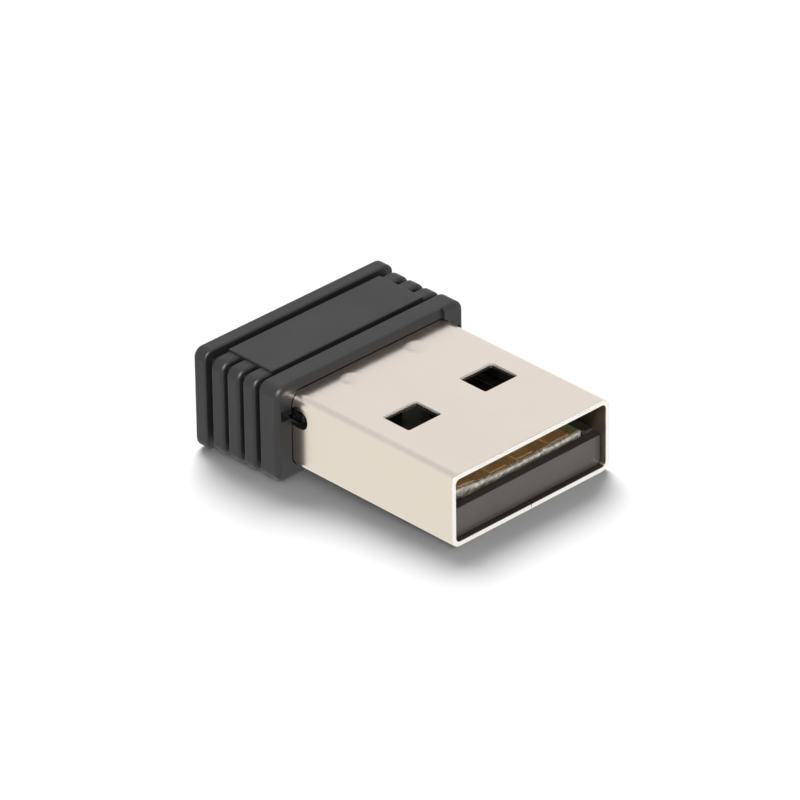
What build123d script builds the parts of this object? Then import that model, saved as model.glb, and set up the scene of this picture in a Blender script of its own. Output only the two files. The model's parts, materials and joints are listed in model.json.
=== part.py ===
from build123d import *
import os

# Nano USB wifi adapter. Millimetres, +Z up.
# The origin is on the axis of the USB-A plug, in the plane of the collar that stops the plug.
# The plug points along -Y, the ribbed plastic cap along +Y, and +X is to the right.
# The contacts face up, towards +Z.

# --- driving dimensions: the plug -------------------------------------------------------------
PLUG_WIDTH = 12.0
PLUG_HEIGHT = 4.5
PLUG_LENGTH = 12.35
SHEET = 0.3
SHELL_CORNER = 0.6
SHELL_TAIL = 1.0
MOUTH_EDGE = 0.06
MOUTH = -PLUG_LENGTH

HOLE_WIDTH = 2.5
HOLE_LENGTH = 2.05
HOLE_FROM_MOUTH = 5.16
HOLE_OFFSET = 2.9
HOLE_CORNER = 0.15

DIMPLE_OFFSET = 2.45
DIMPLE_Y = -1.0
DIMPLE_RADIUS = 0.65
DIMPLE_DEPTH = 0.035

SLOT_FRONT = -1.2
SLOT_BACK = 0.5
SLOT_LOW = 0.42
SLOT_HIGH = 1.52

SEAM = 0.05
SEAM_KEY_REACH = 0.75
SEAM_KEY_LENGTH = 1.5
SEAM_KEY_FLARE = 0.2
SEAM_KEYS = (-10.0, -3.2)

# --- driving dimensions: the cap --------------------------------------------------------------
CAP_WIDTH = 14.2
CAP_HEIGHT = 5.9
CAP_LENGTH = 6.6
CAP_CORNER = 0.6
COLLAR_LENGTH = 1.43
COLLAR_EDGE = 0.3
COLLAR_BACK_EDGE = 0.12
FLANGE_LENGTH = 0.95
FLANGE_WIDTH = 14.32
FLANGE_LOW = -3.2
FLANGE_HIGH = 3.05
FLANGE_EDGE = 0.22
RIB_COUNT = 3
RIB_LENGTH = 0.96
RIB_PITCH = 1.25
RIB_FIRST = 1.81
RIB_LOW = -3.0
RIB_HIGH = 2.83
RIB_EDGE = 0.2
GROOVE_DEPTH = 0.45
PANEL_WIDTH = 11.5
PANEL_LOW = -3.05
PANEL_HIGH = 2.95
PANEL_EDGE = 0.08
RECESS_WIDTH = 11.26
RECESS_DEPTH = 0.2
SOCKET_GAP = 0.05
BAY_WIDTH = 11.7
BAY_HEIGHT = 4.0
BAY_CORNER = 0.5
END_WALL = 1.05

# --- driving dimensions: the latch in each side wall ------------------------------------------
POCKET_WIDTH = 0.8
POCKET_LOW = 0.85
POCKET_HIGH = 1.5
POCKET_DEPTH = 0.95
FINGER_THICKNESS = 0.35
TOOTH_REACH = 0.3
TOOTH_LENGTH = 0.15
LATCH_GAP = 0.05

# --- driving dimensions: the plastic carrier and the board ------------------------------------
CARRIER_RECESS = 0.38
CARRIER_GAP = 0.05
CARRIER_FLOOR_GAP = 0.02
CARRIER_BACK = 0.25
LIP_LENGTH = 0.57
LIP_TOP = -0.12
RAIL_TOP = 0.1
WELL_WIDTH = 8.6
WELL_FRONT = -10.2
WELL_BACK = -0.5
WELL_FLOOR = -1.6
CLIP_Y = -1.7
CLIP_LENGTH = 1.2
CLIP_REACH = 0.45
CLIP_HEIGHT = 0.35

BOARD_TOP = 0.03
BOARD_THICKNESS = 0.6
BOARD_WIDTH = 10.0
BOARD_FROM_MOUTH = 1.39
BOARD_BREAK_X = -1.6
BOARD_BREAK_DEPTH = 0.5
BOARD_TAIL_WIDTH = 11.2
BOARD_NECK = 0.35
BOARD_BACK = 5.1
BOARD_SEAT = 0.02
BOARD_BOTTOM = BOARD_TOP - BOARD_THICKNESS

# --- driving dimensions: what is mounted on the board -----------------------------------------
PAD_THICKNESS = 0.04
PAD_CORNER = 0.2
POWER_PAD = (1.5, 7.3)
DATA_PAD = (1.2, 6.8)
POWER_PAD_X = 3.5
DATA_PAD_X = 1.0
POWER_PAD_SETBACK = 0.06
DATA_PAD_SETBACK = 0.16

CHIP_SIDE = 5.0
CHIP_HEIGHT = 0.7
CHIP_Y = -6.2
CHIP_STANDOFF = 0.12
CHIP_PITCH = 0.45
CHIP_LEADS_PER_SIDE = 10
CHIP_LEAD_WIDTH = 0.22
CHIP_LEAD_LENGTH = 0.45
CHIP_EDGE = 0.08

CRYSTAL_SIZE = (3.2, 2.4)
CRYSTAL_PLACE = (-2.4, -1.95)
CRYSTAL_BASE_HEIGHT = 0.45
CRYSTAL_LID_HEIGHT = 0.25
CRYSTAL_RIM = 0.18

REGULATOR_SIZE = (2.9, 1.5, 1.0)
REGULATOR_PLACE = (-2.7, -1.9)
REGULATOR_LEAD_X = 0.95
INDUCTOR_SIZE = (2.2, 2.0, 1.1)
INDUCTOR_PLACE = (0.6, -1.9)
BULK_SIZE = (1.2, 2.0, 0.85)
BULK_PLACES = ((2.5, -1.9), (3.8, -1.9))
SMALL_SIZE = (0.5, 1.0, 0.45)
BYPASS_X = 3.45
BYPASS_Y = (-8.2, -6.9, -5.5, -4.2)
RESISTOR_PLACES = ((0.4, -1.95), (1.4, -1.95), (2.4, -1.95), (3.4, -1.95))
RESISTOR_HEIGHT = 0.35
FILTER_SIZE = (1.25, 2.0, 0.7)
FILTER_PLACE = (-2.4, 0.5)
MATCHING_PLACES = ((-3.7, 0.6), (-4.7, 0.6), (-1.0, 0.6))
CHIP_END = 0.22

ANTENNA_WIDTH = 0.4
ANTENNA_THICKNESS = 0.05
ANTENNA_LEFT = -4.9
ANTENNA_RIGHT = 4.6
ANTENNA_FRONT = 1.9
ANTENNA_BACK = 4.6
ANTENNA_LEGS = 8

SOLDER_START = 0.42
SOLDER_LEG = 0.5


def block(x, y, z):
    """A box given by its lowest and highest X, Y and Z."""
    size = (x[1] - x[0], y[1] - y[0], z[1] - z[0])
    return Pos(sum(x) / 2, sum(y) / 2, sum(z) / 2) * Box(*size)


def bar(width, height, radius, start, end):
    """A rounded rectangle on the plug's axis, drawn out along Y from start to end."""
    across = Plane(origin=(0, start, 0), x_dir=(1, 0, 0), z_dir=(0, 1, 0))
    return extrude(across * RectangleRounded(width, height, radius), amount=end - start)


def both_sides(solid):
    """The solid and its mirror image across the plane X = 0."""
    return [solid, mirror(solid, Plane.YZ)]


def on_board(size, place, side, gap=0.0):
    """A box that stands on the board's top (side 1) or hangs under it (side -1)."""
    face = BOARD_TOP if side > 0 else BOARD_BOTTOM
    near = face + side * gap
    far = near + side * size[2]
    half_x = size[0] / 2
    half_y = size[1] / 2
    return block(
        (place[0] - half_x, place[0] + half_x),
        (place[1] - half_y, place[1] + half_y),
        (min(near, far), max(near, far)),
    )


def upright(solid):
    """The edges of a solid that run along Z."""
    return solid.edges().filter_by(Axis.Z)


def seam_line():
    """The joint of the folded sheet along the middle of the plug's underside, with its dovetail keys."""
    points = [(0, MOUTH - 1)]
    for start in SEAM_KEYS:
        end = start + SEAM_KEY_LENGTH
        points += [
            (0, start),
            (SEAM_KEY_REACH, start - SEAM_KEY_FLARE),
            (SEAM_KEY_REACH, end + SEAM_KEY_FLARE),
            (0, end),
        ]
    points.append((0, SHELL_TAIL + 1))
    ribbon = trace(Polyline(*points), SEAM)
    return extrude(Pos(0, 0, -PLUG_HEIGHT / 2 - SHEET) * ribbon, amount=3 * SHEET)


def usb_shell():
    inner = (PLUG_WIDTH - 2 * SHEET, PLUG_HEIGHT - 2 * SHEET, SHELL_CORNER - SHEET)
    shell = bar(PLUG_WIDTH, PLUG_HEIGHT, SHELL_CORNER, MOUTH, SHELL_TAIL)
    shell = fillet(shell.edges().group_by(Axis.Y)[0], MOUTH_EDGE)
    shell -= bar(*inner, MOUTH - 1, SHELL_TAIL + 1)
    hole_y = (MOUTH + HOLE_FROM_MOUTH, MOUTH + HOLE_FROM_MOUTH + HOLE_LENGTH)
    hole_x = (HOLE_OFFSET - HOLE_WIDTH / 2, HOLE_OFFSET + HOLE_WIDTH / 2)
    hole = block(hole_x, hole_y, (-PLUG_HEIGHT, PLUG_HEIGHT))
    hole = fillet(upright(hole), HOLE_CORNER)
    for cutter in both_sides(hole):
        shell -= cutter
    ball_radius = (DIMPLE_RADIUS**2 + DIMPLE_DEPTH**2) / (2 * DIMPLE_DEPTH)
    ball = Pos(DIMPLE_OFFSET, DIMPLE_Y, PLUG_HEIGHT / 2 - DIMPLE_DEPTH + ball_radius) * Sphere(ball_radius)
    for cutter in both_sides(ball):
        shell -= cutter
    slot_x = (PLUG_WIDTH / 2 - 2 * SHEET, PLUG_WIDTH / 2 + SHEET)
    slot = block(slot_x, (SLOT_FRONT, SLOT_BACK), (SLOT_LOW, SLOT_HIGH))
    slot = fillet(slot.edges().filter_by(Axis.X).group_by(Axis.Y)[0], (SLOT_HIGH - SLOT_LOW) * 0.45)
    for cutter in both_sides(slot):
        shell -= cutter
    return shell - seam_line()


def pcb_carrier():
    """The black plastic tongue that fills the lower half of the plug and holds the board."""
    half = PLUG_WIDTH / 2 - SHEET - CARRIER_GAP
    floor = -PLUG_HEIGHT / 2 + SHEET + CARRIER_FLOOR_GAP
    front = MOUTH + CARRIER_RECESS
    body = block((-half, half), (front, CARRIER_BACK), (floor, RAIL_TOP))
    body = fillet(body.edges().filter_by(Axis.Y).group_by(Axis.Z)[0], SHELL_CORNER - SHEET)
    seat_half = BOARD_WIDTH / 2 + CARRIER_GAP / 2
    lip_back = front + LIP_LENGTH
    body -= block((-half - 1, half + 1), (front - 1, lip_back), (LIP_TOP, 1))
    body -= block((-seat_half, seat_half), (lip_back, CARRIER_BACK + 1), (BOARD_BOTTOM - BOARD_SEAT, 1))
    body -= block((-WELL_WIDTH / 2, WELL_WIDTH / 2), (WELL_FRONT, WELL_BACK), (WELL_FLOOR, 1))
    clip = block(
        (half - CLIP_REACH - (half - seat_half), half),
        (CLIP_Y - CLIP_LENGTH / 2, CLIP_Y + CLIP_LENGTH / 2),
        (RAIL_TOP, RAIL_TOP + CLIP_HEIGHT),
    )
    for part in both_sides(clip):
        body += part
    return body


def board_outline(inset=0.0):
    """The board from above; its front edge was snapped off a panel and falls back towards -X."""
    front = MOUTH + BOARD_FROM_MOUTH + inset
    half = BOARD_WIDTH / 2
    tail = BOARD_TAIL_WIDTH / 2
    right = [(half, front), (half, BOARD_NECK), (tail, BOARD_NECK), (tail, BOARD_BACK)]
    left = [(-tail, BOARD_BACK), (-tail, BOARD_NECK), (-half, BOARD_NECK), (-half, front + BOARD_BREAK_DEPTH)]
    return make_face(Polyline(*right, *left, (BOARD_BREAK_X, front), close=True))


def circuit_board():
    return extrude(Pos(0, 0, BOARD_BOTTOM) * board_outline(), amount=BOARD_THICKNESS)


def contact(width, length, x, setback):
    """One flat gold-plated finger on the board, trimmed where the board's edge was snapped."""
    start = MOUTH + BOARD_FROM_MOUTH + setback
    level = (BOARD_TOP, BOARD_TOP + PAD_THICKNESS)
    finger = block((x - width / 2, x + width / 2), (start, start + length), level)
    finger = fillet(upright(finger).group_by(Axis.Y)[-1], PAD_CORNER)
    return finger & extrude(Pos(0, 0, BOARD_TOP) * board_outline(POWER_PAD_SETBACK), amount=PAD_THICKNESS)


def wifi_chip():
    body = on_board((CHIP_SIDE, CHIP_SIDE, CHIP_HEIGHT), (0, CHIP_Y), -1, CHIP_STANDOFF)
    return chamfer(body.edges().group_by(Axis.Z)[0], CHIP_EDGE)


def wifi_chip_terminals():
    """The flat leads round the chip's edge, between its body and the board, with its ground pad."""
    reach = CHIP_SIDE / 2 - CHIP_LEAD_LENGTH / 2 + 0.03
    pad_side = CHIP_SIDE - 4 * CHIP_LEAD_LENGTH
    leads = [on_board((pad_side, pad_side, CHIP_STANDOFF), (0, CHIP_Y), -1)]
    for number in range(CHIP_LEADS_PER_SIDE):
        along = (number - (CHIP_LEADS_PER_SIDE - 1) / 2) * CHIP_PITCH
        for side in (-1, 1):
            flat = (CHIP_LEAD_LENGTH, CHIP_LEAD_WIDTH, CHIP_STANDOFF)
            tall = (CHIP_LEAD_WIDTH, CHIP_LEAD_LENGTH, CHIP_STANDOFF)
            leads.append(on_board(flat, (side * reach, CHIP_Y + along), -1))
            leads.append(on_board(tall, (along, CHIP_Y + side * reach), -1))
    return leads


def crystal_base():
    base = on_board((*CRYSTAL_SIZE, CRYSTAL_BASE_HEIGHT), CRYSTAL_PLACE, -1)
    return fillet(upright(base), CRYSTAL_RIM)


def crystal_lid():
    size = (CRYSTAL_SIZE[0] - 2 * CRYSTAL_RIM, CRYSTAL_SIZE[1] - 2 * CRYSTAL_RIM, CRYSTAL_LID_HEIGHT)
    lid = on_board(size, CRYSTAL_PLACE, -1, CRYSTAL_BASE_HEIGHT)
    lid = fillet(upright(lid), CRYSTAL_RIM)
    return chamfer(lid.edges().group_by(Axis.Z)[0], CRYSTAL_LID_HEIGHT / 3)


def voltage_regulator():
    body = on_board(REGULATOR_SIZE, REGULATOR_PLACE, 1, CHIP_STANDOFF)
    return chamfer(body.edges().group_by(Axis.Z)[-1], CHIP_EDGE)


def voltage_regulator_leads():
    """Five gull-wing leads, three on one long side and two on the other."""
    leads = []
    edge = REGULATOR_SIZE[1] / 2
    knee = REGULATOR_SIZE[2] / 2
    for side, places in ((-1, (-1, 0, 1)), (1, (-1, 1))):
        for place in places:
            x = REGULATOR_PLACE[0] + place * REGULATOR_LEAD_X
            y = REGULATOR_PLACE[1]
            half = CHIP_LEAD_WIDTH * 0.8
            foot = block((x - half, x + half), sorted((y + side * (edge + 0.02), y + side * (edge + 0.5))),
                         (BOARD_TOP, BOARD_TOP + CHIP_STANDOFF))
            leg = block((x - half, x + half), sorted((y + side * edge, y + side * (edge + 0.17))),
                        (BOARD_TOP, BOARD_TOP + knee))
            leads.append(foot + leg)
    return leads


def chip_body(size, place, side, along_y=True):
    """The ceramic middle of a two-ended chip part."""
    size = list(size)
    size[1 if along_y else 0] -= 2 * CHIP_END
    return on_board(size, place, side)


def chip_ends(size, place, side):
    """The two tinned caps that close a chip part's ends."""
    ends = []
    for sign in (-1, 1):
        y = place[1] + sign * (size[1] - CHIP_END) / 2
        ends.append(on_board((size[0], CHIP_END, size[2]), (place[0], y), side))
    return ends


def bypass_places():
    return [(side * BYPASS_X, y) for y in BYPASS_Y for side in (-1, 1)]


def antenna_trace():
    """A folded copper track: up and down across the board, with a feed leg at its left end."""
    step = (ANTENNA_RIGHT - ANTENNA_LEFT) / ANTENNA_LEGS
    points = [(ANTENNA_LEFT, FILTER_PLACE[1] + FILTER_SIZE[1] / 2 - 0.2)]
    for leg in range(ANTENNA_LEGS + 1):
        x = ANTENNA_LEFT + leg * step
        ends = (ANTENNA_FRONT, ANTENNA_BACK)
        if leg % 2:
            ends = ends[::-1]
        if leg == 0:
            ends = ends[1:]
        points += [(x, y) for y in ends]
    track = extrude(Pos(0, 0, BOARD_TOP) * trace(Polyline(*points), ANTENNA_WIDTH), amount=ANTENNA_THICKNESS)
    return track


def shell_solder_joints():
    """A fillet of solder on each side, from the board's ear to the inside of the shell."""
    wall = PLUG_WIDTH / 2 - SHEET
    section = Polyline(
        (wall, BOARD_TOP + SOLDER_LEG), (wall, BOARD_TOP), (wall - SOLDER_LEG, BOARD_TOP), close=True
    )
    face = Plane(origin=(0, SOLDER_START, 0), x_dir=(1, 0, 0), z_dir=(0, -1, 0)) * make_face(section)
    joint = extrude(face, amount=-(SHELL_TAIL - SOLDER_START))
    return both_sides(joint)


def cap_plate(span, width, low, high, front_edge, back_edge):
    """One raised rib or rim of the cap, with rounded edges."""
    plate = Pos(0, 0, (low + high) / 2) * bar(width, high - low, CAP_CORNER, *span)
    plate = fillet(plate.edges().group_by(Axis.Y)[0], front_edge)
    return fillet(plate.edges().group_by(Axis.Y)[-1], back_edge)


def cap_panel():
    """The flat panel on the top and the underside, which stands a little proud of the ribs."""
    end = RIB_FIRST + (RIB_COUNT - 1) * RIB_PITCH + RIB_LENGTH
    half = PANEL_WIDTH / 2
    panel = block((-half, half), (RIB_FIRST, end), (PANEL_LOW, PANEL_HIGH))
    outer = panel.faces().group_by(Axis.Z)
    return fillet(outer[0].edges() + outer[-1].edges(), PANEL_EDGE)


def cap_outside():
    half = CAP_HEIGHT / 2
    core_width = CAP_WIDTH - 2 * GROOVE_DEPTH
    core_height = CAP_HEIGHT - 2 * GROOVE_DEPTH
    flange_start = CAP_LENGTH - FLANGE_LENGTH
    core = bar(core_width, core_height, CAP_CORNER - GROOVE_DEPTH, COLLAR_EDGE, CAP_LENGTH - FLANGE_EDGE)
    core += cap_plate((0, COLLAR_LENGTH), CAP_WIDTH, -half, half, COLLAR_EDGE, COLLAR_BACK_EDGE)
    flange = (FLANGE_WIDTH, FLANGE_LOW, FLANGE_HIGH)
    core += cap_plate((flange_start, CAP_LENGTH), *flange, COLLAR_BACK_EDGE, FLANGE_EDGE)
    for number in range(RIB_COUNT):
        start = RIB_FIRST + number * RIB_PITCH
        rib = (CAP_WIDTH, RIB_LOW, RIB_HIGH)
        core += cap_plate((start, start + RIB_LENGTH), *rib, RIB_EDGE, RIB_EDGE)
    return core + cap_panel()


def cap_latch():
    """The springy finger in each side pocket, with the tooth that sits in the shell's side slot."""
    low = POCKET_LOW + LATCH_GAP
    high = POCKET_HIGH - LATCH_GAP
    inner = PLUG_WIDTH / 2 + LATCH_GAP
    tooth_end = SLOT_BACK - LATCH_GAP
    tooth_start = tooth_end - TOOTH_LENGTH
    finger = block((inner, inner + FINGER_THICKNESS), (tooth_start, POCKET_DEPTH + 0.5), (low, high))
    tooth = block((inner - TOOTH_REACH, inner), (tooth_start, tooth_end), (low, high))
    return finger + tooth


def cap_housing():
    cap = cap_outside()
    for face in (-1, 1):
        level = sorted((face * (PLUG_HEIGHT / 2 - SHEET), face * CAP_HEIGHT))
        cap -= block((-RECESS_WIDTH / 2, RECESS_WIDTH / 2), (-1, RECESS_DEPTH), level)
    socket = (PLUG_WIDTH + 2 * SOCKET_GAP, PLUG_HEIGHT + 2 * SOCKET_GAP, SHELL_CORNER + SOCKET_GAP)
    cap -= bar(*socket, -1, SHELL_TAIL + SOCKET_GAP)
    cap -= bar(BAY_WIDTH, BAY_HEIGHT, BAY_CORNER, SHELL_TAIL, CAP_LENGTH - END_WALL)
    inner = PLUG_WIDTH / 2
    pocket = block((inner, inner + POCKET_WIDTH), (-1, POCKET_DEPTH), (POCKET_LOW, POCKET_HIGH))
    for cutter in both_sides(pocket):
        cap -= cutter
    for part in both_sides(cap_latch()):
        cap += part
    return cap


def write(name, shape):
    """One STEP file for one node; a list of solids becomes one group."""
    if isinstance(shape, list):
        shape = Compound(children=shape)
    shape.label = name
    export_step(shape, f"parts/{name}.step")


def main():
    os.makedirs("parts", exist_ok=True)
    write("usb_shell", usb_shell())
    write("pcb_carrier", pcb_carrier())
    write("circuit_board", circuit_board())
    write("contact_vbus", contact(*POWER_PAD, POWER_PAD_X, POWER_PAD_SETBACK))
    write("contact_data_minus", contact(*DATA_PAD, DATA_PAD_X, DATA_PAD_SETBACK))
    write("contact_data_plus", contact(*DATA_PAD, -DATA_PAD_X, DATA_PAD_SETBACK))
    write("contact_ground", contact(*POWER_PAD, -POWER_PAD_X, POWER_PAD_SETBACK))
    write("wifi_chip", wifi_chip())
    write("wifi_chip_terminals", wifi_chip_terminals())
    write("crystal_base", crystal_base())
    write("crystal_lid", crystal_lid())
    write("voltage_regulator", voltage_regulator())
    write("voltage_regulator_leads", voltage_regulator_leads())
    write("power_inductor", chip_body(INDUCTOR_SIZE, INDUCTOR_PLACE, 1))
    write("power_inductor_terminals", chip_ends(INDUCTOR_SIZE, INDUCTOR_PLACE, 1))
    write("bulk_capacitors", [chip_body(BULK_SIZE, place, 1) for place in BULK_PLACES])
    write("bulk_capacitor_terminals", sum([chip_ends(BULK_SIZE, place, 1) for place in BULK_PLACES], []))
    write("bypass_capacitors", [chip_body(SMALL_SIZE, place, -1) for place in bypass_places()])
    bypass_ends = [chip_ends(SMALL_SIZE, place, -1) for place in bypass_places()]
    write("bypass_capacitor_terminals", sum(bypass_ends, []))
    resistor = (*SMALL_SIZE[:2], RESISTOR_HEIGHT)
    write("resistors", [chip_body(resistor, place, -1) for place in RESISTOR_PLACES])
    write("resistor_terminals", sum([chip_ends(resistor, place, -1) for place in RESISTOR_PLACES], []))
    write("rf_filter", chip_body(FILTER_SIZE, FILTER_PLACE, 1))
    write("rf_filter_terminals", chip_ends(FILTER_SIZE, FILTER_PLACE, 1))
    write("matching_coils", [chip_body(SMALL_SIZE, place, 1) for place in MATCHING_PLACES])
    write("matching_coil_terminals", sum([chip_ends(SMALL_SIZE, place, 1) for place in MATCHING_PLACES], []))
    write("antenna_trace", antenna_trace())
    write("shell_solder_joints", shell_solder_joints())
    write("cap_housing", cap_housing())


main()
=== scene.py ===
import json
import math

import bmesh
import bpy
from mathutils import Matrix, Vector, noise


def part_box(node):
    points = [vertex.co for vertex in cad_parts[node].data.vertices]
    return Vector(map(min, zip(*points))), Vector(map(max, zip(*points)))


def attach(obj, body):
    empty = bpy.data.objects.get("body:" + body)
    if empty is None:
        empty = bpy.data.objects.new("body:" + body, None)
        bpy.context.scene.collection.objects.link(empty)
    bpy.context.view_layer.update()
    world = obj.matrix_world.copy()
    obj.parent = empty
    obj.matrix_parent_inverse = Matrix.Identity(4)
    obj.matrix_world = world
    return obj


MM = 0.001

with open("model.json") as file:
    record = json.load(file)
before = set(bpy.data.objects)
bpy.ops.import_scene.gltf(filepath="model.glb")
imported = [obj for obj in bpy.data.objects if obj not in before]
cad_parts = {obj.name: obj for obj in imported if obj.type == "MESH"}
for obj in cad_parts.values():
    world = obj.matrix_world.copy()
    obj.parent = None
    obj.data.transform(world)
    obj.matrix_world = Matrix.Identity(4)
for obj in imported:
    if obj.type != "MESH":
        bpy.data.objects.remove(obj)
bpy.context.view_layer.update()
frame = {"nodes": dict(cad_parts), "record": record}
nodes = frame["nodes"]

shell_low, shell_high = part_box("usb_shell")
board_low, board_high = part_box("circuit_board")
_, contact_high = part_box("contact_vbus")
cap_low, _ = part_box("cap_housing")


# --- node helpers -----------------------------------------------------------------------------

# Sockets of the Mix node when it mixes colours.
MIX_FACTOR, MIX_A, MIX_B = 0, 6, 7
MIX_RESULT = 2

BEVEL_SAMPLES = 4


class Nodes:
    """A node tree, with short calls for the nodes that are used here more than once."""

    def __init__(self, tree):
        self.tree = tree

    def node(self, kind, **settings):
        made = self.tree.nodes.new(kind)
        for key, value in settings.items():
            setattr(made, key, value)
        return made

    def link(self, source, target):
        self.tree.links.new(source, target)

    def feed(self, target, value):
        """Sets an input to a number or colour, or links it to another node's output."""
        if isinstance(value, bpy.types.NodeSocket):
            self.link(value, target)
        else:
            target.default_value = value

    def math(self, operation, a, b=0.0):
        made = self.node("ShaderNodeMath", operation=operation)
        self.feed(made.inputs[0], a)
        self.feed(made.inputs[1], b)
        return made.outputs["Value"]

    def product(self, first, *others):
        for other in others:
            first = self.math("MULTIPLY", first, other)
        return first

    def ramp(self, value, low, high, to_low=0.0, to_high=1.0, **settings):
        """The value mapped from one range to another, and clamped."""
        made = self.node("ShaderNodeMapRange", **settings)
        keys = ("From Min", "From Max", "To Min", "To Max")
        for key, number in zip(keys, (low, high, to_low, to_high)):
            made.inputs[key].default_value = number
        self.link(value, made.inputs["Value"])
        return made.outputs["Result"]

    def part(self, vector, axis):
        """The X, Y or Z of a vector."""
        parts = self.node("ShaderNodeSeparateXYZ")
        self.link(vector, parts.inputs["Vector"])
        return parts.outputs[axis]

    def only_direct(self, strength):
        """A light's strength, but 0 once a matt surface has passed the light on.

        Without this, the metal would throw bright patches on the floor.
        """
        depth = self.node("ShaderNodeLightPath").outputs["Diffuse Depth"]
        return self.product(self.math("LESS_THAN", depth, 0.5), strength)


class Shade(Nodes):
    """A new material around one Principled shader."""

    def __init__(self, name):
        self.material = bpy.data.materials.new(name)
        self.material.use_nodes = True
        super().__init__(self.material.node_tree)
        self.tree.nodes.clear()
        output = self.node("ShaderNodeOutputMaterial")
        self.shader = self.node("ShaderNodeBsdfPrincipled")
        self.link(self.shader.outputs["BSDF"], output.inputs["Surface"])
        self.place = self.node("ShaderNodeTexCoord").outputs["Object"]

    def set(self, **values):
        """Sets plain values on the shader's own sockets."""
        for key, value in values.items():
            self.shader.inputs[key.replace("_", " ")].default_value = value

    def colour(self, value):
        self.feed(self.shader.inputs["Base Color"], value)

    def rough(self, value):
        self.feed(self.shader.inputs["Roughness"], value)

    def bump(self, height, depth_mm, strength):
        made = self.node("ShaderNodeBump")
        made.inputs["Strength"].default_value = strength
        made.inputs["Distance"].default_value = depth_mm * MM
        self.link(height, made.inputs["Height"])
        self.link(made.outputs["Normal"], self.shader.inputs["Normal"])

    def mix(self, factor, a, b):
        """A colour between a and b."""
        made = self.node("ShaderNodeMix", data_type="RGBA")
        for socket, value in ((MIX_FACTOR, factor), (MIX_A, a), (MIX_B, b)):
            self.feed(made.inputs[socket], value)
        return made.outputs[MIX_RESULT]

    def stretched(self, x, y, z):
        """Object coordinates, scaled along each axis."""
        mapping = self.node("ShaderNodeMapping")
        mapping.inputs["Scale"].default_value = (x, y, z)
        self.link(self.place, mapping.inputs["Vector"])
        return mapping.outputs["Vector"]

    def noise(self, per_mm, detail, roughness=0.5, place=None):
        """Noise with that many features to the millimetre."""
        made = self.node("ShaderNodeTexNoise")
        made.inputs["Scale"].default_value = per_mm / MM
        made.inputs["Detail"].default_value = detail
        made.inputs["Roughness"].default_value = roughness
        self.link(place or self.place, made.inputs["Vector"])
        return made.outputs["Fac"]

    def edges(self, reach_mm):
        """1 on sharp edges and 0 on flat faces, within that reach."""
        rounded = self.node("ShaderNodeBevel", samples=BEVEL_SAMPLES)
        rounded.inputs["Radius"].default_value = reach_mm * MM
        plain = self.node("ShaderNodeNewGeometry")
        dot = self.node("ShaderNodeVectorMath", operation="DOT_PRODUCT")
        self.link(rounded.outputs["Normal"], dot.inputs[0])
        self.link(plain.outputs["Normal"], dot.inputs[1])
        return self.ramp(dot.outputs["Value"], 0.995, 0.9)

    def facing(self, axis):
        """How squarely the surface faces along an axis, from 0 to 1, whichever way."""
        normal = self.node("ShaderNodeNewGeometry").outputs["Normal"]
        return self.math("ABSOLUTE", self.part(normal, axis))

    def zone(self, axis, start_mm, end_mm):
        """0 before the first place on an axis and 1 past the second."""
        return self.ramp(self.part(self.place, axis), start_mm * MM, end_mm * MM)

    def zones(self, axis, start_mm, end_mm):
        """The same, measured both ways from the plug's axis."""
        distance = self.math("ABSOLUTE", self.part(self.place, axis))
        return self.ramp(distance, start_mm * MM, end_mm * MM)


def tone(red, green, blue):
    return (red, green, blue, 1.0)


# --- materials --------------------------------------------------------------------------------

# The plug, in millimetres. Its axis is at X = 0 and Z = 0, and the collar's front is at Y = 0.
SHEET = 0.3
MOUTH = shell_low.y / MM
CAVITY_WIDTH = shell_high.x / MM - SHEET
CAVITY_HEIGHT = shell_high.z / MM - SHEET
SHEET_MIDDLE = CAVITY_HEIGHT + SHEET / 2
CONTACTS_WIDTH = contact_high.x / MM
BOARD_FRONT = board_low.y / MM

# Where one finish, painted shade or painted highlight starts to give way to the next, and where it
# has done so.
MOUTH_RIM = (MOUTH + 0.015, MOUTH + 0.003)
# The inside of the plug, which is rougher and painted darker, as shade.
INSIDE_FROM = (MOUTH + 0.04, MOUTH + 0.06)
INSIDE_ACROSS = (CAVITY_WIDTH + 0.03, CAVITY_WIDTH + 0.02)
INSIDE_UP_AND_DOWN = (CAVITY_HEIGHT + 0.03, CAVITY_HEIGHT + 0.02)
# The lower sheet, painted darker still, as shade under the carrier.
LOWER_SHEET = (0.25 - CAVITY_HEIGHT, 0.05 - CAVITY_HEIGHT)
UPPER_HALF_OF_SHEET = (SHEET_MIDDLE - 0.02, SHEET_MIDDLE + 0.02)
HOLES_ALONG = (-3.5, -3.6)
HOLES_ACROSS = (4.51, 4.5)
# Deeper in than this, the board and the contacts are painted darker, as shade inside the plug.
SHADE_FURTHER_IN = (MOUTH + 3.75, MOUTH + 4.75)
MASK_BESIDE = (CONTACTS_WIDTH, CONTACTS_WIDTH + 0.05)
TORN_FRONT = (BOARD_FRONT - 0.22, BOARD_FRONT - 0.32)
TORN_CORNER = (4.2, 4.3)
TORN_WANDER = -0.6

# Bare cut metal, lightened to near white as a painted highlight.
CUT_METAL_HIGHLIGHT = tone(0.97, 0.935, 0.875)

# Colour and roughness of each slot that plated() makes.
PLATINGS = {
    "track_copper": ((0.75, 0.38, 0.2), 0.35),
    "tinned_metal": ((0.72, 0.71, 0.69), 0.36),
    "lid_metal": ((0.66, 0.63, 0.58), 0.3),
}

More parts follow.
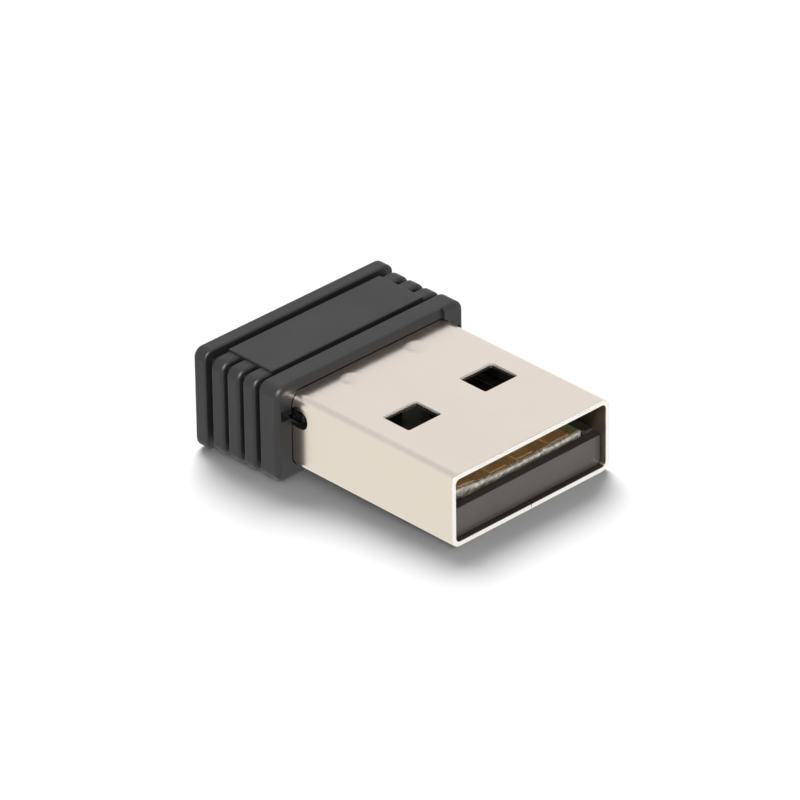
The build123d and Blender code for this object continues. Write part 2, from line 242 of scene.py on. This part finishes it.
# The same for fired().
FIRED_BODIES = {
    "chip_epoxy": ((0.022, 0.022, 0.024), 0.55),
    "crystal_ceramic": ((0.5, 0.46, 0.38), 0.5),
    "ferrite": ((0.07, 0.065, 0.06), 0.6),
    "capacitor_ceramic": ((0.46, 0.32, 0.2), 0.45),
    "resistor_glaze": ((0.02, 0.02, 0.024), 0.25),
    "filter_ceramic": ((0.62, 0.64, 0.6), 0.5),
    "coil_ceramic": ((0.05, 0.06, 0.075), 0.45),
}


def punched_walls(m):
    """1 on the upper half of the walls of the top's square holes, which take the painted
    highlight.
    """
    upright = m.ramp(m.facing("Z"), 0.6, 0.4)
    high = m.zone("Z", *UPPER_HALF_OF_SHEET)
    along = m.zone("Y", *HOLES_ALONG)
    across = m.zones("X", *HOLES_ACROSS)
    return m.product(upright, high, along, across)


def plated_steel():
    """Satin nickel on a stamped sheet: cloudy, with faint rolling lines.

    Inside the plug it is rougher, and painted darker as shade. Its sides carry a warmer painted
    reflection, and the mouth's rim and the walls of the top holes are bright: bare cut metal with
    a painted highlight.
    """
    m = Shade("plated_steel")
    clouds = m.noise(0.22, 2.0)
    lines = m.noise(3.0, 2.0, place=m.stretched(1.0, 0.06, 1.0))
    specks = m.noise(16.0, 2.0)
    rim = m.zone("Y", *MOUTH_RIM)
    walls = punched_walls(m)
    inside = m.product(
        m.zones("X", *INSIDE_ACROSS), m.zones("Z", *INSIDE_UP_AND_DOWN), m.zone("Y", *INSIDE_FROM)
    )
    # Faces towards either side take a warmer tone, as a painted reflection.
    side = m.ramp(m.facing("X"), 0.6, 0.9)

    satin = m.mix(m.ramp(clouds, 0.35, 0.65), tone(0.79, 0.706, 0.63), tone(0.812, 0.729, 0.655))
    satin = m.mix(side, satin, tone(0.79, 0.715, 0.605))
    # Painted shade inside the plug, darkest on the lower sheet.
    inner_shade = m.mix(m.ramp(specks, 0.35, 0.65), tone(0.26, 0.215, 0.175), tone(0.36, 0.3, 0.25))
    inner_shade = m.mix(m.zone("Z", *LOWER_SHEET), inner_shade, tone(0.1, 0.082, 0.068))
    # The mouth's rim and the hole walls get the near-white painted highlight over bare cut metal.
    m.colour(m.mix(m.math("MAXIMUM", rim, walls), m.mix(inside, satin, inner_shade), CUT_METAL_HIGHLIGHT))

    # Less metallic there, so that the near-white painted highlight shows as matt colour.
    metallic = m.math("SUBTRACT", m.ramp(rim, 0.0, 1.0, 1.0, 0.8), walls)
    m.feed(m.shader.inputs["Metallic"], metallic)

    gloss = m.ramp(clouds, 0.3, 0.7, 0.2, 0.25)
    gloss = m.math("ADD", gloss, m.ramp(lines, 0.3, 0.7, -0.015, 0.02))
    m.rough(m.math("ADD", gloss, m.product(inside, 0.15)))
    m.bump(specks, 0.0005, 0.35)
    return m.material


def moulded_black(name, dark, light, rough, grain_mm, depth_mm, edge_wear_and_painted_light, edge_mm):
    """Dark moulded plastic with a fine grain, and smoother edges in a tone of their own: lighter
    on the cap, for wear and a painted highlight, and darker on the carrier, as painted shade.
    """
    m = Shade(name)
    m.set(IOR=1.5)
    grain = m.noise(1.0 / grain_mm, 3.0, 0.6)
    clouds = m.noise(0.4, 3.0)
    dust = m.ramp(m.noise(5.0, 4.0, 0.7), 0.62, 0.8)
    edge = m.edges(edge_mm)

    base = m.mix(m.ramp(clouds, 0.3, 0.7), dark, light)
    # On the cap the edges are lighter, for wear and a painted highlight; on the carrier darker, as
    # painted shade.
    base = m.mix(m.product(edge, m.ramp(clouds, 0.35, 0.6, 0.45, 1.0)), base, edge_wear_and_painted_light)
    m.colour(m.mix(m.product(dust, 0.06), base, tone(0.3, 0.29, 0.27)))

    gloss = m.ramp(grain, 0.3, 0.7, rough - 0.05, rough + 0.05)
    m.rough(m.math("ADD", gloss, m.product(edge, -0.2)))
    m.bump(grain, depth_mm, 0.6)
    return m.material


def laminate():
    """The board: amber round the contacts, solder mask beside them, and painted darker further in,
    as shade.

    Bare glass shows on its cut sides and at the torn right end of its front.
    """
    m = Shade("laminate")
    m.set(IOR=1.5)
    fibre = m.noise(9.0, 4.0, 0.7, place=m.stretched(1.0, 1.0, 3.0))
    flat = m.ramp(m.facing("Z"), 0.5, 0.8)
    weave = m.ramp(m.noise(6.0, 2.0), 0.3, 0.7)

    mask = m.mix(weave, tone(0.3, 0.3, 0.09), tone(0.5, 0.47, 0.16))
    amber = m.mix(weave, tone(0.72, 0.38, 0.12), tone(0.92, 0.55, 0.22))
    face = m.mix(m.zones("X", *MASK_BESIDE), amber, mask)
    # Painted shade: darker deeper inside the plug.
    face = m.mix(m.zone("Y", *SHADE_FURTHER_IN), face, tone(0.035, 0.045, 0.012))
    glass = m.mix(m.ramp(fibre, 0.35, 0.65), tone(0.42, 0.36, 0.22), tone(0.85, 0.8, 0.66))

    wander = m.product(m.noise(2.5, 3.0), TORN_WANDER * MM)
    place = m.math("ADD", m.part(m.place, "Y"), wander)
    start, end = TORN_FRONT
    torn = m.product(m.ramp(place, start * MM, end * MM), m.zone("X", *TORN_CORNER))
    m.colour(m.mix(flat, glass, m.mix(torn, face, glass)))
    m.rough(m.ramp(flat, 0.0, 1.0, 0.75, 0.3))
    m.bump(fibre, 0.01, 0.6)
    return m.material


def broken_glass_epoxy():
    """The snapped front edge of the board: pale torn fibres with resin between them."""
    m = Shade("broken_glass_epoxy")
    m.set(IOR=1.5)
    fibre = m.noise(4.5, 3.0, 0.6, place=m.stretched(1.0, 1.0, 1.6))
    patches = m.noise(1.8, 2.0)
    pale = m.mix(m.ramp(fibre, 0.34, 0.5), tone(0.66, 0.58, 0.42), tone(1.0, 0.95, 0.83))
    m.colour(m.mix(m.ramp(patches, 0.56, 0.7, 0.0, 0.6), pale, tone(0.55, 0.5, 0.34)))
    m.rough(m.ramp(fibre, 0.3, 0.7, 0.9, 0.6))
    m.bump(fibre, 0.012, 0.5)
    return m.material


def gold_fingers():
    """Gold plating that is rubbed at the mouth and painted darker further in, as shade."""
    m = Shade("gold_plating")
    m.set(Metallic=0.1)
    grain = m.noise(12.0, 3.0)
    clouds = m.noise(1.2, 2.0)
    rubbed = m.mix(m.ramp(clouds, 0.35, 0.65), tone(0.8, 0.45, 0.17), tone(0.95, 0.58, 0.24))
    # Painted shade: darker deeper inside the plug.
    m.colour(m.mix(m.zone("Y", *SHADE_FURTHER_IN), rubbed, tone(0.09, 0.055, 0.025)))
    m.rough(m.ramp(grain, 0.3, 0.7, 0.4, 0.52))
    m.bump(grain, 0.002, 0.5)
    return m.material


def plated(name, colour, rough):
    """Thin plating or foil: a little uneven in tone and gloss."""
    m = Shade(name)
    m.set(Metallic=1.0)
    grain = m.noise(12.0, 3.0)
    clouds = m.noise(1.2, 2.0)
    darker = tone(*(c * 0.82 for c in colour))
    m.colour(m.mix(m.ramp(clouds, 0.35, 0.65), darker, tone(*colour)))
    m.rough(m.ramp(grain, 0.3, 0.7, rough - 0.06, rough + 0.08))
    m.bump(grain, 0.002, 0.5)
    return m.material


def fired(name, colour, rough):
    """Ceramic, ferrite or moulded epoxy: a matt body, cloudy in tone, with a fine grain."""
    m = Shade(name)
    grain = m.noise(20.0, 4.0, 0.7)
    clouds = m.noise(1.5, 2.0)
    darker = tone(*(c * 0.72 for c in colour))
    m.colour(m.mix(m.ramp(clouds, 0.3, 0.7), darker, tone(*colour)))
    m.rough(m.ramp(grain, 0.3, 0.7, rough - 0.08, rough + 0.08))
    m.bump(grain, 0.004, 0.6)
    return m.material


def pale_floor():
    m = Shade("pale_floor")
    m.colour(tone(0.93, 0.93, 0.93))
    m.rough(0.9)
    m.set(Specular_IOR_Level=0.1)
    return m.material


def materials_by_slot():
    made = {
        "shell_plate": plated_steel(),
        "cap_plastic": moulded_black(
            "cap_plastic",
            dark=tone(0.0072, 0.007, 0.0075),
            light=tone(0.0138, 0.0134, 0.0142),
            rough=0.5,
            grain_mm=0.05,
            depth_mm=0.006,
            # Lighter edges: wear, and a painted highlight on the corners.
            edge_wear_and_painted_light=tone(0.04, 0.039, 0.041),
            edge_mm=0.1,
        ),
        "carrier_plastic": moulded_black(
            "carrier_plastic",
            dark=tone(0.088, 0.078, 0.072),
            light=tone(0.1, 0.09, 0.083),
            rough=0.34,
            grain_mm=0.3,
            depth_mm=0.0006,
            # Darker edges: painted shade, as in the gaps round the carrier's face.
            edge_wear_and_painted_light=tone(0.012, 0.01, 0.009),
            edge_mm=0.09,
        ),
        "board_laminate": laminate(),
        "gold_plating": gold_fingers(),
    }
    for make, table in ((plated, PLATINGS), (fired, FIRED_BODIES)):
        for slot, (colour, rough) in table.items():
            made[slot] = make(slot, colour, rough)
    return made


def dress(materials):
    """Gives every carried-over node the material of its slot."""
    slots = {part["node"]: part["material_slot"] for part in frame["record"]["subparts"]}
    for name, piece in nodes.items():
        piece.data.materials.clear()
        piece.data.materials.append(materials[slots[name]])


# --- the board's snapped edge -----------------------------------------------------------------

EDGE_FACES_ACROSS = 150
EDGE_FACES_UP = 9
EDGE_HALF_WIDTH = 4.98 * MM
EDGE_CLEARANCE = 0.01 * MM

# Left of the bend the edge falls back evenly, by this much at its left end.
EDGE_BEND = -1.6 * MM
EDGE_FALL = 0.5 * MM


def ragged(x, z, lump_mm, layer):
    """Noise over the board's front edge, with lumps of that size."""
    return noise.noise(Vector((x / (lump_mm * MM), z / (lump_mm * MM), layer)))


def edge_ring(mesh, x):
    """One slice through the torn edge: up its rough front and back along the board."""
    past_bend = (EDGE_BEND - x) / (EDGE_HALF_WIDTH + EDGE_BEND)
    edge_y = board_low.y + max(0.0, past_bend) * EDGE_FALL
    low = board_low.z + EDGE_CLEARANCE
    height = board_high.z - low
    front = []
    for j in range(EDGE_FACES_UP + 1):
        z = low + height * j / EDGE_FACES_UP
        coarse = ragged(x, z, 0.5, 3.1)
        fine = ragged(x, z, 0.2, 8.7)
        out = (0.18 + 0.15 * coarse + 0.1 * fine) * MM
        lift = (0.05 * fine + 0.06 * coarse) * MM if j == EDGE_FACES_UP else 0.0
        front.append((x, edge_y - out, z + lift))
    top = front[-1][2]
    return [mesh.verts.new(point) for point in ((x, edge_y, low), *front, (x, edge_y, top))]


def snapped_edge():
    """A thin crust of torn laminate on the front of the board, rough on its front and top."""
    mesh = bmesh.new()
    rings = []
    for i in range(EDGE_FACES_ACROSS + 1):
        rings.append(edge_ring(mesh, EDGE_HALF_WIDTH * (2 * i / EDGE_FACES_ACROSS - 1)))
    for near, far in zip(rings, rings[1:]):
        for a, b, c, d in zip(near, far, far[1:] + far[:1], near[1:] + near[:1]):
            mesh.faces.new((a, b, c, d))
    mesh.faces.new(rings[0])
    mesh.faces.new(rings[-1])
    bmesh.ops.recalc_face_normals(mesh, faces=mesh.faces)
    data = bpy.data.meshes.new("board_snapped_edge")
    mesh.to_mesh(data)
    mesh.free()
    piece = bpy.data.objects.new("board_snapped_edge", data)
    bpy.context.scene.collection.objects.link(piece)
    piece.data.materials.append(broken_glass_epoxy())
    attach(piece, "root")


# --- stage: floor, light and camera -----------------------------------------------------------

FLOOR_SIZE = 3.0

# The front edge of the cap's bottom panel, and how far that panel is above the cap's lowest point.
PANEL_FRONT = 1.89 * MM
PANEL_RISE = 0.15 * MM


def resting_plane():
    """A point and a slope for the plane that the adapter rests on.

    It touches the lower edge of the mouth and the front edge of the cap's bottom panel.
    """
    nose = Vector((0.0, shell_low.y, shell_low.z))
    heel = Vector((0.0, PANEL_FRONT, cap_low.z + PANEL_RISE))
    slope = math.atan2(nose.z - heel.z, heel.y - nose.y)
    return heel, slope


def stage_floor():
    """A pale floor, left out of reflections so that the plug's sides stay bright."""
    heel, slope = resting_plane()
    bpy.ops.mesh.primitive_plane_add(size=FLOOR_SIZE)
    floor = bpy.context.object
    floor.name = "floor"
    floor.rotation_euler = (-slope, 0.0, 0.0)
    floor.location = heel
    floor.data.materials.append(pale_floor())
    floor.visible_glossy = False


def sun(name, towards, spread, strength, glint=False):
    """A light from one direction, as soft as its spread in degrees is wide.

    A glint shows in reflections only, and the other lights do not show in them.
    """
    data = bpy.data.lights.new(name, "SUN")
    data.angle = math.radians(spread)
    data.energy = strength
    lamp = bpy.data.objects.new(name, data)
    lamp.rotation_euler = Vector(towards).to_track_quat("Z", "Y").to_euler()
    if glint:
        data.use_nodes = True
        emission = data.node_tree.nodes["Emission"]
        tree = Nodes(data.node_tree)
        tree.link(tree.only_direct(1.0), emission.inputs["Strength"])
    lamp.visible_glossy = glint
    lamp.visible_diffuse = not glint
    bpy.context.scene.collection.objects.link(lamp)


def white_surround():
    """White studio walls, a little darker overhead, that show in gloss and light nothing else."""
    world = bpy.data.worlds.new("studio")
    bpy.context.scene.world = world
    world.use_nodes = True
    background = world.node_tree.nodes["Background"]
    tree = Nodes(world.node_tree)
    height = tree.part(tree.node("ShaderNodeTexCoord").outputs["Generated"], "Z")
    white = tree.ramp(height, 0.45, 0.95, 0.97, 0.7, interpolation_type="SMOOTHSTEP")
    tree.link(tree.only_direct(white), background.inputs["Strength"])
    background.inputs["Color"].default_value = tone(1.0, 1.0, 1.0)


def studio_light():
    white_surround()
    sun("soft_box_behind", towards=(0.413, 0.573, 0.708), spread=41.0, strength=3.95)
    sun("overhead", towards=(-0.1, -0.06, 0.99), spread=95.0, strength=0.75)
    sun("front_fill", towards=(-0.52, -0.84, 0.165), spread=40.0, strength=1.85)
    sun("corner_glint", towards=(-0.5, -0.47, 0.72), spread=6.0, strength=6.0, glint=True)


def photo_camera():
    """A long lens, from the left of the mouth and above it."""
    azimuth = math.radians(-43.84)
    elevation = math.radians(30.33)
    roll = math.radians(-0.78)
    distance = 0.408
    target = Vector((-0.674, -2.924, 0.960)) * MM
    back = Vector((
        math.sin(azimuth) * math.cos(elevation),
        -math.cos(azimuth) * math.cos(elevation),
        math.sin(elevation),
    ))
    level = Vector((math.cos(azimuth), math.sin(azimuth), 0.0))
    upright = back.cross(level)
    right = level * math.cos(roll) + upright * math.sin(roll)
    above = upright * math.cos(roll) - level * math.sin(roll)
    data = bpy.data.cameras.new("photo_camera")
    data.sensor_width = 36.0
    data.lens = 337.5
    data.clip_start = 0.01
    data.clip_end = 10.0
    camera = bpy.data.objects.new("photo_camera", data)
    bpy.context.scene.collection.objects.link(camera)
    turn = Matrix((right, above, back)).transposed().to_4x4()
    camera.matrix_world = Matrix.Translation(target + back * distance) @ turn
    bpy.context.scene.camera = camera


bpy.context.scene.view_settings.view_transform = "Standard"
dress(materials_by_slot())
snapped_edge()
stage_floor()
studio_light()
photo_camera()
